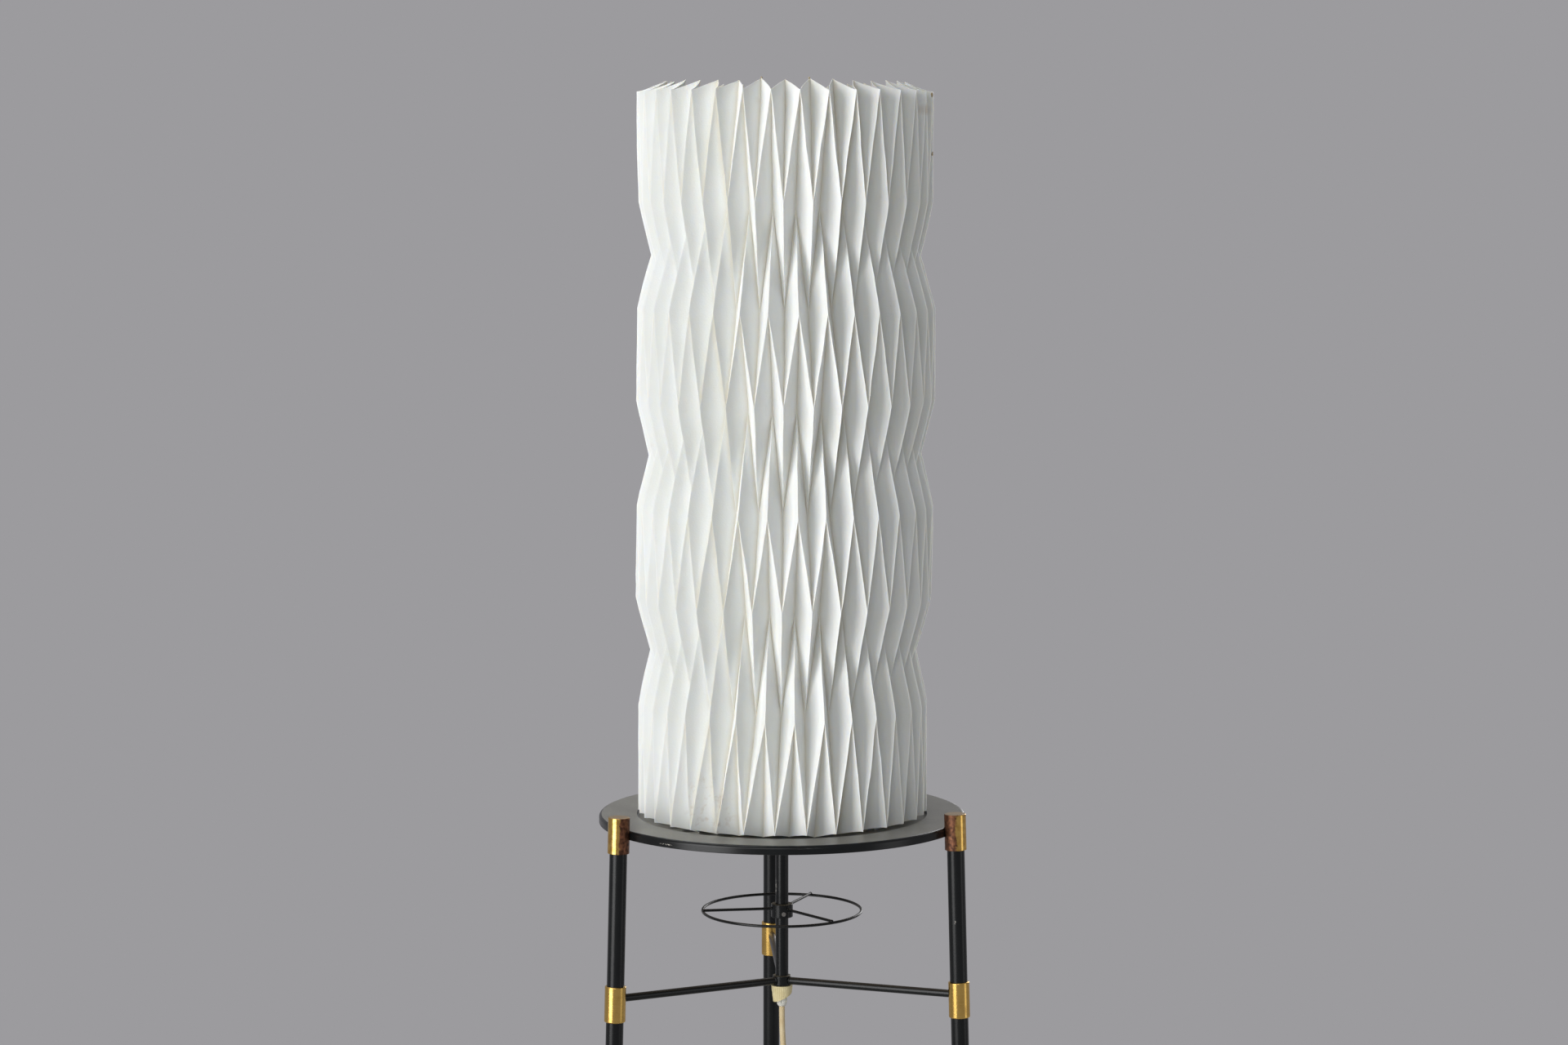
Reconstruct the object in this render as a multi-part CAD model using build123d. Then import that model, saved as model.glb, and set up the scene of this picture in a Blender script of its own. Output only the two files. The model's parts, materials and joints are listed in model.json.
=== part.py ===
"""Pleated paper lamp standing on a black tripod with brass caps, sleeves and feet.

Millimetres, +Z up. The pieces are modelled round the lamp's own axis, with the back leg at +Y,
and moved as one when they are written, so that the origin is on the floor under the middle of
the whole lamp. Each sub-part is written to parts/NODE.step.
"""
from build123d import *
import math
import os

# ------------------------------------------------------------ driving dimensions
# Disc: pressed sheet with a turned-down rim and a shallow round seat for the shade
disc_top_z = 850.0
disc_r = 170.0
disc_sheet = 1.5
disc_rim_h = 8.0
disc_rim_round = 3.0
seat_depth = 4.5
seat_gap = 2.5              # between the foot of the paper and the wall of the seat
lug_share = 0.43            # part of the room behind a leg cap that its steel lug takes
lug_w = 14.0
lug_rim_gap = 0.3           # lug above the lower edge of the rim
seat_corner = 0.8
seat_lip = 0.6

# Legs: splayed tubes, each let into the edge of the disc
leg_d = 16.0
leg_wall = 1.5
leg_splay = 1.7             # degrees from upright
leg_headings = {"back": 90.0, "left": 210.0, "right": 330.0}
cap_wall = 1.9
cap_h = 33.0
cap_rise = 12.7             # top of the cap above the disc
cap_crown = 2.5
cap_bite = 3.6              # how far the cap is let into the disc
cap_edge = 0.8
sleeve_wall = 1.7
sleeve_h = 33.0
sleeve_drop = 158.5         # middle of the sleeve under the top of the disc
sleeve_edge = 1.0
foot_wall = 1.7
foot_h = 30.0
foot_floor = 3.0            # closed end of the brass foot
glide_show = 4.0            # rubber that shows under the foot
glide_d = 16.0
glide_stub_d = 8.0

# Brace: three struts and the hub at the lower end of the stem
strut_d = 7.0
strut_lift = 4.5            # strut above the middle of the sleeve
hub_d = 17.2
hub_h = 9.4

# Stem: tube through the disc that carries the lamp holders
stem_d = 12.0
stem_wall = 1.25
stem_rise = 330.0           # top of the stem above the disc
nut_flats = 19.0
nut_h = 6.0
washer_d = 24.0
washer_t = 1.5

# Wire ring on a collar that slides on the stem
ring_drop = 92.7
ring_r = 74.0
ring_wire_d = 2.6
ring_heading = 65.0
collar_d = 20.4
collar_h = 12.4
slide_gap = 0.1             # radial, between the collar's bore and the stem
set_screw_d = 3.0
set_screw_head_d = 4.0
set_screw_show = 1.4
ring_screw_heading = 275.0

# Side arm for the lower lamp holder
arm_collar_rise = 55.0      # middle of its collar above the disc
arm_reach = 46.0
arm_heading = 20.0
arm_d = 8.0
arm_wall = 1.2
arm_bend_r = 14.0
arm_up = 30.0

# Lamp holders and bulbs
holder_d = 40.0
holder_h = 50.0
holder_neck_d = 20.0
holder_neck_h = 10.0
holder_wall = 2.2
insert_h = 8.0
insert_z = 18.0             # underside of the insert above the foot of the holder
thread_shell_h = 22.0
thread_shell_t = 0.5
thread_gap = 0.15           # between the bulb's cap and the threaded shell
contact_crown = 1.0         # centre contact above the insert
bulb_cap_r = 13.2
bulb_cap_h = 24.0
bulb_tip_r = 4.5
bulb_tip_h = 3.0
bulb_r = 30.0
bulb_glass_h = 81.0
bulb_neck_r = 12.6
bulb_wall = 0.8

# Shade: one sheet with reverse-folded pleats
pleats = 34
shade_r = 136.0
pleat_depth = 24.5
paper_t = 1.0               # measured towards the axis; the slanted walls are about 0.4 thick
shade_turn = -88.0          # heading of a ridge of the top edge, degrees
ridge_foot_lift = 4.0       # lower ridge tips above the disc
end_band_h = 98.5
notch_h = 99.0
band_h = 83.5
ridge_ease = (-4.0, -4.0, -1.0, 0.0, 0.0, -0.5, -2.5, -1.5)    # each row of ridges against shade_r
valley_lift = (-8.2, 1.5, -4.5, 1.0, -4.8, 0.5, -6.0, 9.5)     # valley points against their row
seam_pleat_index = 7        # pleat that carries the seam, counted from shade_turn
seam_gap = 0.3
seam_t = 1.2

# Cord outlet: ribbed plastic bushing with a slanted end, and a soft cord grip
bushing_d = 20.0
bushing_end_d = 16.6
bushing_h = 15.4
bushing_ribs = 30
bushing_rib_depth = 0.5
bushing_land = 1.5          # plain rim above the ribs
bushing_slant = 26.0
bushing_slant_heading = 195.0   # side on which the bushing is longest
grip_d = 10.0
grip_end_d = 7.4
grip_h = 20.0
grip_gap = 0.15

# Cord
cord_d = 5.4
coil_turns_lower = 7        # half turns in the lower layer
coil_out_r = 42.5
coil_pitch = 5.9
coil_centre = (138.0, 33.0)
tie_w = 6.0
tie_t = 0.8
tie_gap = 0.3
switch_l = 60.0
switch_w = 24.0
switch_h = 14.0
switch_axis_z = 7.5
rocker_l = 18.0
rocker_w = 10.0
rocker_tilt = 7.0
plug_l = 36.0
plug_w = 34.0
plug_h = 13.7
plug_axis_z = 7.0
pin_d = 4.0
pin_l = 19.0
pin_tip_round = 0.9
pin_spacing = 19.0

# Fits and fasteners
fit_gap = 0.05              # radial, between parts that are pushed together
screw_d = 4.0
screw_head_d = 7.4
screw_head_h = 2.4
screw_slot_w = 1.0
screw_slot_depth = 1.0
screw_past = 2.0            # end of the screw past the inside of the leg's wall
seat_touch = 0.15           # between faces that only just meet

# Round coil of cord: heights that follow from the tie under it
cord_r = cord_d / 2
coil_low_z = cord_r + tie_t + 0.1
coil_high_z = coil_low_z + coil_pitch

# ------------------------------------------------------------ derived dimensions
cap_d = leg_d + 2 * cap_wall
sleeve_d = leg_d + 2 * sleeve_wall
foot_d = leg_d + 2 * foot_wall
leg_circle_r = disc_r + cap_d / 2 - cap_bite
splay = math.radians(leg_splay)
leg_length = disc_top_z / math.cos(splay)
seat_r = shade_r + ridge_ease[0] + seat_gap
seat_floor_z = disc_top_z - seat_depth
disc_under_z = disc_top_z - disc_sheet
strut_local_z = strut_lift - sleeve_drop
strut_axis_z = (disc_top_z + strut_local_z * math.cos(splay)
                - (leg_circle_r - strut_local_z * math.sin(splay)) * math.tan(splay))
hub_mid_z = strut_axis_z + hub_d / 2 * math.tan(splay)
hub_low_z = hub_mid_z - hub_h / 2
stem_r = stem_d / 2
stem_bore_r = stem_r - stem_wall
stem_top_z = disc_top_z + stem_rise
ring_z = disc_top_z - ring_drop
arm_collar_z = disc_top_z + arm_collar_rise
arm_top_z = arm_collar_z + arm_up
lug_room = disc_r - cap_bite - seat_r - disc_sheet - screw_head_h - 2 * seat_touch
lug_len = lug_share * lug_room      # the rest is room for a screwdriver
lug_z = disc_top_z - (disc_sheet + disc_rim_h) / 2
grip_low_z = hub_low_z - grip_h
bulb_base_z = insert_z + insert_h + contact_crown + seat_touch
shade_foot_z = disc_top_z + ridge_foot_lift
foot_reach = leg_circle_r + disc_top_z * math.tan(splay) + foot_d / 2
axis_y = -(foot_reach - disc_r) / 2     # the back foot reaches further out than the disc does


# ------------------------------------------------------------ small helpers
def rod(radius, z0, z1):
    """Round bar on the Z axis."""
    return Pos(0, 0, z0) * Cylinder(radius, z1 - z0, align=(Align.CENTER, Align.CENTER, Align.MIN))


def tube(outer_r, inner_r, z0, z1):
    return rod(outer_r, z0, z1) - rod(inner_r, z0 - 1, z1 + 1)


def turned(*corners):
    """Solid of revolution. Each corner is radius, height and the rounding of that corner."""
    points = [(radius, 0, height) for radius, height, _ in corners]
    roundings = [rounding for _, _, rounding in corners]
    outline = FilletPolyline(*points, radius=roundings, close=True)
    return revolve(make_face(outline), Axis.Z)


def at_heading(degrees, shape):
    return Rot(0, 0, degrees) * shape


def leg_frame(heading):
    """Frame of one leg: local Z runs up the leg from the disc's top face, local X points outward."""
    axis = (-math.sin(splay), 0, math.cos(splay))
    outward = (math.cos(splay), 0, math.sin(splay))
    frame = Plane(origin=(leg_circle_r, 0, disc_top_z), x_dir=outward, z_dir=axis)
    return Rot(0, 0, heading) * frame.location


def across(shape, x, z):
    """Turn a shape built on Z so that it runs along local +X from x, at height z."""
    return Pos(x, 0, z) * Rot(0, 90, 0) * shape


def swept_tube(path, radius):
    section = Plane(path @ 0, z_dir=path % 0) * Circle(radius)
    return sweep(section, path=path)


def polar(radius, degrees, z=0.0):
    angle = math.radians(degrees)
    return (radius * math.cos(angle), radius * math.sin(angle), z)


# ------------------------------------------------------------ disc
def disc():
    rim_low_z = disc_top_z - disc_rim_h
    inner_round = disc_rim_round - disc_sheet
    plate = turned(
        (stem_r + fit_gap, seat_floor_z, 0),
        (seat_r, seat_floor_z, seat_corner),
        (seat_r, disc_top_z, seat_lip),
        (disc_r, disc_top_z, disc_rim_round),
        (disc_r, rim_low_z, 0.5),
        (disc_r - disc_sheet, rim_low_z, 0),
        (disc_r - disc_sheet, disc_under_z, inner_round),
        (seat_r + disc_sheet, disc_under_z, 0),
        (seat_r + disc_sheet, seat_floor_z - disc_sheet, seat_corner),
        (stem_r + fit_gap, seat_floor_z - disc_sheet, 0),
    )
    lug_top_z = disc_under_z + disc_sheet / 2
    lug_low_z = rim_low_z + lug_rim_gap
    lug_end = leg_circle_r - cap_d / 2 + cap_bite
    screw_hole = across(rod(screw_d / 2 + fit_gap, -cap_d / 2 - 2 * lug_len, 0), 0, lug_z - disc_top_z)
    lug = Pos(lug_end, 0, lug_low_z) * Box(
        lug_len + cap_bite, lug_w, lug_top_z - lug_low_z,
        align=(Align.MAX, Align.CENTER, Align.MIN),
    )
    for heading in leg_headings.values():
        frame = leg_frame(heading)
        plate += at_heading(heading, lug)
        plate -= frame * rod(cap_d / 2 + seat_touch, -cap_h, cap_h)
        plate -= frame * screw_hole
    return plate


def disc_screws():
    """Screws from inside the rim, through the lugs into the leg caps."""
    head_x = -cap_d / 2 - lug_len - seat_touch * 2
    shank = rod(screw_d / 2, 0, lug_len + cap_wall + leg_wall + screw_past)
    head = turned(
        (0, -screw_head_h, 0),
        (screw_head_d / 2, -screw_head_h, screw_head_h / 2),
        (screw_head_d / 2, 0, 0),
        (0, 0, 0),
    )
    slot = Pos(0, 0, -screw_head_h) * Box(screw_head_d * 2, screw_slot_w, 2 * screw_slot_depth)
    screw = across(shank + (head - slot), head_x, lug_z - disc_top_z)
    return [leg_frame(heading) * screw for heading in leg_headings.values()]


# ------------------------------------------------------------ legs
def leg_pieces(heading):
    frame = leg_frame(heading)
    leg_r = leg_d / 2
    foot_low = -leg_length + glide_show
    tube_low = foot_low + foot_floor
    tube_high = cap_rise - cap_crown
    screw_hole = across(rod(screw_d / 2 + fit_gap, -cap_d, 0), 0, lug_z - disc_top_z)

    leg = tube(leg_r, leg_r - leg_wall, tube_low, tube_high) - screw_hole
    cap = turned(
        (0, cap_rise, 0),
        (cap_d / 2, cap_rise, cap_edge),
        (cap_d / 2, cap_rise - cap_h, cap_edge / 2),
        (leg_r + fit_gap, cap_rise - cap_h, 0),
        (leg_r + fit_gap, tube_high, 0),
        (0, tube_high, 0),
    ) - screw_hole
    sleeve = turned(
        (sleeve_d / 2, sleeve_h / 2 - sleeve_drop, sleeve_edge),
        (sleeve_d / 2, -sleeve_h / 2 - sleeve_drop, sleeve_edge),
        (leg_r + fit_gap, -sleeve_h / 2 - sleeve_drop, 0),
        (leg_r + fit_gap, sleeve_h / 2 - sleeve_drop, 0),
    )
    foot = turned(
        (glide_stub_d / 2 + fit_gap, foot_low, 0),
        (foot_d / 2, foot_low, sleeve_edge),
        (foot_d / 2, foot_low + foot_h, sleeve_edge),
        (leg_r + fit_gap, foot_low + foot_h, 0),
        (leg_r + fit_gap, tube_low, 0),
        (glide_stub_d / 2 + fit_gap, tube_low, 0),
    )
    glide = rod(glide_d / 2, -leg_length - glide_d, foot_low) + rod(glide_stub_d / 2, foot_low, tube_low)
    strut = across(rod(strut_d / 2, -leg_circle_r, 0), 0, strut_local_z) - rod(
        sleeve_d / 2, -sleeve_drop - sleeve_h, -sleeve_drop + sleeve_h
    )
    below_floor = Box(4 * disc_r, 4 * disc_r, disc_r, align=(Align.CENTER, Align.CENTER, Align.MAX))
    hub_space = rod(hub_d / 2, hub_low_z - hub_h, hub_low_z + 2 * hub_h)
    past_hub = Pos(0, 0, strut_axis_z) * at_heading(heading, Box(
        2 * leg_circle_r, 2 * leg_circle_r, 4 * hub_h, align=(Align.MAX, Align.CENTER, Align.CENTER)
    ))
    return {
        "leg": frame * leg,
        "leg_cap": frame * cap,
        "brace_sleeve": frame * sleeve,
        "foot_ferrule": frame * foot,
        "foot_glide": frame * glide - below_floor,
        "brace_strut": frame * strut - hub_space - past_hub,
    }


def brace_hub():
    return turned(
        (stem_r + fit_gap, hub_low_z, 0),
        (hub_d / 2, hub_low_z, 0.8),
        (hub_d / 2, hub_low_z + hub_h, 0.8),
        (stem_r + fit_gap, hub_low_z + hub_h, 0),
    )


# ------------------------------------------------------------ stem
def stem_tube():
    lead_hole = at_heading(arm_heading, across(rod(arm_d / 2 - arm_wall, 0, stem_d), 0, arm_collar_z))
    return tube(stem_r, stem_bore_r, hub_low_z, stem_top_z) - lead_hole


def washer(z0):
    return tube(washer_d / 2, stem_r + fit_gap, z0, z0 + washer_t)


def nut(z0):
    prism = extrude(RegularPolygon(nut_flats / 2, 6, major_radius=False), nut_h)
    chamfer_cone = turned(
        (0, 0, 0),
        (nut_flats / 2 + 0.2, 0, 0),
        (nut_flats / 2 + 1.6, 0.8, 0),
        (nut_flats / 2 + 1.6, nut_h - 0.8, 0),
        (nut_flats / 2 + 0.2, nut_h, 0),
        (0, nut_h, 0),
    )
    return Pos(0, 0, z0) * (prism & chamfer_cone) - rod(stem_r + fit_gap, z0 - 1, z0 + nut_h + 1)


def stem_washers():
    return [washer(seat_floor_z), washer(seat_floor_z - disc_sheet - washer_t)]


def stem_nuts():
    return [nut(seat_floor_z + washer_t), nut(seat_floor_z - disc_sheet - washer_t - nut_h)]


def collar(mid_z, bore_r, screw_heading, screw_z):
    """Turned collar with a tapped hole for its set screw."""
    body = turned(
        (bore_r, mid_z - collar_h / 2, 0),
        (collar_d / 2, mid_z - collar_h / 2, 0.5),
        (collar_d / 2, mid_z + collar_h / 2, 0.5),
        (bore_r, mid_z + collar_h / 2, 0),
    )
    hole = at_heading(screw_heading, across(rod(set_screw_d / 2 + fit_gap, 0, collar_d), 0, screw_z))
    return body - hole


def set_screw(screw_heading, screw_z):
    tip_x = stem_r + slide_gap / 2
    head_x = collar_d / 2 + seat_touch
    shank = rod(set_screw_d / 2, tip_x, head_x)
    head = rod(set_screw_head_d / 2, head_x, head_x + set_screw_show)
    slot = Pos(0, 0, head_x + set_screw_show) * Box(set_screw_head_d * 2, 0.7, 1.2)
    return at_heading(screw_heading, across(shank + head - slot, 0, screw_z))


# ------------------------------------------------------------ wire ring
def wire_ring():
    wire_r = ring_wire_d / 2
    ring = Pos(0, 0, ring_z) * Torus(ring_r, wire_r)
    spoke = across(rod(wire_r, 0, ring_r + wire_r * 0.6), 0, ring_z + ring_wire_d * 0.6)
    for turn in range(3):
        ring += at_heading(ring_heading + 120 * turn, spoke)
    return ring - rod(collar_d / 2, ring_z - collar_h, ring_z + collar_h)


# ------------------------------------------------------------ lower lamp arm
def arm_path():
    points = [
        (0, 0, arm_collar_z),
        (arm_reach, 0, arm_collar_z),
        (arm_reach, 0, arm_top_z),
    ]
    return FilletPolyline(*points, radius=arm_bend_r)


def lamp_arm():
    bore_r = arm_d / 2 - arm_wall
    arm = swept_tube(arm_path(), arm_d / 2) - swept_tube(arm_path(), bore_r)
    arm -= rod(collar_d / 2, arm_collar_z - collar_h, arm_collar_z + collar_h)
    return at_heading(arm_heading, arm)


def arm_collar():
    body = collar(arm_collar_z, stem_r + fit_gap, arm_heading + 180, arm_collar_z)
    lead_hole = across(rod(arm_d / 2 - arm_wall, 0, collar_d), 0, arm_collar_z)
    return body - at_heading(arm_heading, lead_hole)


# ------------------------------------------------------------ lamp holders and bulbs
def holder_housing(support_r):
    """Moulded shell, open at the top, on a narrow neck that takes a support of radius support_r."""
    r = holder_d / 2
    return turned(
        (support_r + fit_gap, 0, 0),
        (holder_neck_d / 2, 0, 1.0),
        (holder_neck_d / 2, holder_neck_h, 2.0),
        (r, insert_z + 4.0, 6.0),
        (r, holder_h, 1.0),
        (r - holder_wall, holder_h, 0.8),
        (r - holder_wall, insert_z, 0),
        (support_r + fit_gap, insert_z, 0),
    )


def holder_insert():
    """Ceramic block that carries the contacts."""
    r = holder_d / 2 - holder_wall - seat_touch
    return turned(
        (stem_bore_r, insert_z, 0),
        (r, insert_z, 0),
        (r, insert_z + insert_h, 0.5),
        (stem_bore_r, insert_z + insert_h, 0),
    )


def holder_contacts():
    shell_r = bulb_cap_r + thread_gap
    base_z = insert_z + insert_h
    shell = tube(shell_r + thread_shell_t, shell_r, base_z, base_z + thread_shell_h)
    button = turned(
        (0, base_z - insert_h / 2, 0),
        (stem_bore_r - fit_gap, base_z - insert_h / 2, 0),
        (stem_bore_r - fit_gap, base_z, 0),
        (stem_bore_r * 0.6, base_z + contact_crown, 0),
        (0, base_z + contact_crown, 0),
    )
    return [shell, button]


def bulb_base():
    """Metal cap of the bulb with its insulated tip."""
    z0 = bulb_base_z
    return turned(
        (0, z0, 0),
        (bulb_tip_r, z0, 1.0),
        (bulb_cap_r - bulb_tip_h, z0 + bulb_tip_h, 0.5),
        (bulb_cap_r, z0 + bulb_tip_h + 2.0, 0.5),
        (bulb_cap_r, z0 + bulb_cap_h, 0),
        (0, z0 + bulb_cap_h, 0),
    )


def bulb_envelope(inset):
    """Rounded bulb: a neck that swells into a ball."""
    z0 = bulb_base_z + bulb_cap_h
    top_z = z0 + bulb_glass_h - inset
    ball_z = z0 + bulb_glass_h - bulb_r
    ball_r = bulb_r - inset
    neck_r = bulb_neck_r - inset
    side = Spline(
        (neck_r, 0, z0),
        (neck_r + 1.2, 0, z0 + 12.0),
        (ball_r, 0, ball_z),
        tangents=[(0, 0, 1), (0, 0, 1)],
    )
    crown = CenterArc((0, 0, 0), ball_r, 0, 90)
    crown = Pos(0, 0, ball_z) * Rot(90, 0, 0) * crown
    axis = Line((0, 0, top_z), (0, 0, z0))
    foot = Line((0, 0, z0), (neck_r, 0, z0))
    return revolve(make_face([side, crown, axis, foot]), Axis.Z)


def bulb_glass():
    return bulb_envelope(0.0) - bulb_envelope(bulb_wall)


# ------------------------------------------------------------ inner leads
def inner_leads():
    """Cord inside the stem up to the top holder, and the branch through the side arm."""
    lead_r = arm_d / 2 - arm_wall - seat_touch
    main = rod(cord_r, hub_low_z, stem_top_z + insert_z - holder_neck_h)
    branch = swept_tube(arm_path(), lead_r)
    branch -= rod(cord_r + seat_touch, arm_collar_z - collar_h, arm_collar_z + collar_h)
    return [main, at_heading(arm_heading, branch)]


# ------------------------------------------------------------ shade
def crease_rows():
    """Rows of crease points, bottom to top: ridge height and radius, valley height and radius."""
    steps = (end_band_h, notch_h, band_h, notch_h, band_h, notch_h, end_band_h)
    ridge_z = shade_foot_z
    rows = []
    for ease, lift, step in zip(ridge_ease, valley_lift, steps + (0.0,)):
        ridge_r = shade_r + ease
        rows.append((ridge_z, ridge_r, ridge_z + lift, ridge_r - pleat_depth))
        ridge_z += step
    return rows


def crease_point(rows, row, column, outward):
    """Crease point of a row. Ridges and valleys alternate along a row and from row to row."""
    ridge_z, ridge_r, valley_z, valley_r = rows[row]
    is_ridge = (row + column) % 2 == 1
    radius = (ridge_r if is_ridge else valley_r) + outward
    heading = shade_turn + column * 180 / pleats
    return Vector(*polar(radius, heading, ridge_z if is_ridge else valley_z))


def quad(a, b, c, d):
    """Two flat triangles on the corners a, b, c, d, split from a to c."""
    return [Face(Wire.make_polygon([a, b, c])), Face(Wire.make_polygon([a, c, d]))]


def folded_wall(columns, outward, closed):
    """Folded paper between outward[0] and outward[1], over a range of half-pleat columns."""
    rows = crease_rows()
    faces = []

    def point(row, column, side):
        return crease_point(rows, row, column % (2 * pleats), outward[side])

    for column in columns:
        for row in range(len(rows) - 1):
            in_band = row % 2 == 0
            ridge_at_left = (row + column) % 2 == 1
            for side in (0, 1):
                corners = [
                    point(row, column, side),
                    point(row, column + 1, side),
                    point(row + 1, column + 1, side),
                    point(row + 1, column, side),
                ]
                # bands fold from ridge to ridge, notches from valley to valley
                split_from_left = ridge_at_left == in_band
                faces += quad(*corners) if split_from_left else quad(*corners[1:], corners[0])
        for row in (0, len(rows) - 1):
            faces += quad(
                point(row, column, 0), point(row, column + 1, 0),
                point(row, column + 1, 1), point(row, column, 1),
            )
    if not closed:
        for column in (columns[0], columns[-1] + 1):
            for row in range(len(rows) - 1):
                faces += quad(
                    point(row, column, 0), point(row + 1, column, 0),
                    point(row + 1, column, 1), point(row, column, 1),
                )
    wall = Solid(Shell(faces))
    return wall if wall.volume > 0 else Solid(Shell([-face for face in faces]))


def shade_paper():
    return folded_wall(range(2 * pleats), (-paper_t, 0.0), closed=True)


def shade_seam_lap():
    """Strip of paper glued over the joint of the sheet, one half pleat wide."""
    first = 2 * seam_pleat_index
    return folded_wall(range(first, first + 1), (seam_gap, seam_gap + seam_t), closed=False)


# ------------------------------------------------------------ cord outlet
def cord_bushing():
    length = bushing_h
    body = Pos(0, 0, hub_low_z - length) * Cone(
        bushing_end_d / 2, bushing_d / 2, length, align=(Align.CENTER, Align.CENTER, Align.MIN)
    )
    lean = math.degrees(math.atan((bushing_d - bushing_end_d) / 2 / length))
    groove_side = bushing_rib_depth * 1.4
    groove = Pos(0, 0, -length / 2) * Rot(0, 0, 45) * Box(groove_side, groove_side, length * 1.1)
    groove = Pos(bushing_d / 2, 0, hub_low_z - bushing_land) * Rot(0, lean, 0) * groove
    for rib in range(bushing_ribs):
        body -= at_heading(360 / bushing_ribs * rib, groove)
    body -= rod(grip_d / 2 + grip_gap, hub_low_z - 2 * length, hub_low_z + 1)
    # slanted end: a plane that leaves the full length only on one side
    slant = Pos(bushing_end_d / 2, 0, hub_low_z - length) * Rot(0, bushing_slant, 0) * Box(
        4 * bushing_d, 4 * bushing_d, 2 * length, align=(Align.CENTER, Align.CENTER, Align.MAX)
    )
    return body - at_heading(bushing_slant_heading, slant)


def cord_grip():
    return turned(
        (0, hub_low_z - seat_touch, 0),
        (grip_d / 2, hub_low_z - seat_touch, 0),
        (grip_d / 2, grip_low_z + grip_h * 0.35, 2.0),
        (grip_end_d / 2, grip_low_z, 1.0),
        (0, grip_low_z, 0),
    )


# ------------------------------------------------------------ cord
switch_start = (39.0, -10.0)
plug_end_x = 78.0

cord_lead_out = 24.0        # straight cord below the grip

drop_route = [
    (0.0, 0.0, grip_low_z),
    (0.0, 0.0, grip_low_z - cord_lead_out),
    (2.6, -0.8, 612.0),
    (4.6, -1.2, 552.0),
    (4.2, 0.4, 482.0),
    (1.4, 2.2, 410.0),
    (-2.2, 2.6, 338.0),
    (-4.6, 1.4, 268.0),
    (-5.4, -0.8, 200.0),
    (-8.4, -3.4, 144.0),
    (-13.6, -5.4, 96.0),
    (-16.8, -7.0, 57.0),
    (-14.4, -8.2, 38.6),
    (-5.6, -9.0, 23.6),
    (8.2, -9.7, 12.6),
    (24.0, -10.0, 7.5),
    (39.0, -10.0, 7.5),
]


def rounded_route(points):
    """Straight runs joined by arcs as large as the runs allow."""
    runs = [(Vector(*b) - Vector(*a)) for a, b in zip(points, points[1:])]
    radii = []
    for before, after in zip(runs, runs[1:]):
        turn = math.radians(before.get_angle(after))
        radii.append(0.45 * min(before.length, after.length) / math.tan(turn / 2))
    print("cord radii, mm:", [round(radius) for radius in radii])
    return FilletPolyline(*points, radius=radii)


def coil_edges():
    """Half turns that spiral in, climb one layer on a tilted half circle and spiral out again."""
    step = coil_pitch / 2
    lower = [coil_out_r - step * k for k in range(coil_turns_lower)]
    climb = [lower[-1] - step]
    radii = lower + climb + lower[::-1]
    x = coil_out_r
    edges = [Edge.make_line((x, -cord_d, coil_low_z), (x, 0, coil_low_z))]
    z = coil_low_z
    for k, radius in enumerate(radii):
        side = 1 if k % 2 == 0 else -1
        end_x = x - side * 2 * radius
        end_z = coil_high_z if k >= coil_turns_lower else coil_low_z
        middle = ((x + end_x) / 2, side * radius, (z + end_z) / 2)
        edges.append(Edge.make_three_point_arc((x, 0, z), middle, (end_x, 0, end_z)))
        x, z = end_x, end_z
    edges.append(Edge.make_line((x, 0, z), (x, -cord_d, z)))
    return edges, x


def coil_self_gap(edges):
    """Least gap between two stretches of the coil that are not neighbours along the cord."""
    samples = 36
    points = []
    along = 0.0
    for edge in edges[1:-1]:
        for i in range(samples):
            points.append((along + edge.length * i / samples, edge @ (i / samples)))
        along += edge.length
    least = min(
        (p - q).length
        for a, p in points
        for b, q in points
        if b - a > 3 * cord_d
    )
    return least - cord_d


coil_place = Pos(coil_centre[0], coil_centre[1], 0) * Rot(0, 0, -90)


def coil_ends():
    """Where the cord enters and leaves the coil, in the lamp's own frame."""
    _, exit_x = coil_edges()
    enter = (coil_centre[0] - cord_d, coil_centre[1] - coil_out_r, coil_low_z)
    leave = (coil_centre[0] - cord_d, coil_centre[1] - exit_x, coil_high_z)
    return enter, leave


def cord_coil():
    edges, _ = coil_edges()
    length = sum(edge.length for edge in edges)
    print("coil: length %.0f mm, least gap to itself %.2f mm" % (length, coil_self_gap(edges)))
    return coil_place * swept_tube(Wire(edges), cord_r)


def coil_tie():
    """Strap round the coil's section, on the side where all turns lie in a neat stack."""
    inner_y = coil_out_r - coil_pitch / 2 * (coil_turns_lower - 1) - cord_r - tie_gap - 1.2
    outer_y = coil_out_r + cord_r + tie_gap
    low_z = coil_low_z - cord_r - 0.1
    high_z = coil_high_z + cord_r + tie_gap
    middle = ((inner_y + outer_y) / 2, (low_z + high_z) / 2)
    hole = RectangleRounded(outer_y - inner_y, high_z - low_z, 2.0)
    band = RectangleRounded(outer_y - inner_y + 2 * tie_t, high_z - low_z + 2 * tie_t, 2.0 + tie_t)
    strap = extrude(Plane.YZ * (band - hole), tie_w / 2, both=True)
    return coil_place * Pos(-coil_pitch / 2, middle[0], middle[1]) * strap


def link_route():
    """From the switch into the coil."""
    enter, _ = coil_ends()
    start = (switch_start[0] + switch_l, switch_start[1], switch_axis_z)
    return [
        start,
        (start[0] + 9.0, start[1], start[2]),
        (enter[0] - 9.0, enter[1], enter[2]),
        enter,
    ]


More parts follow.
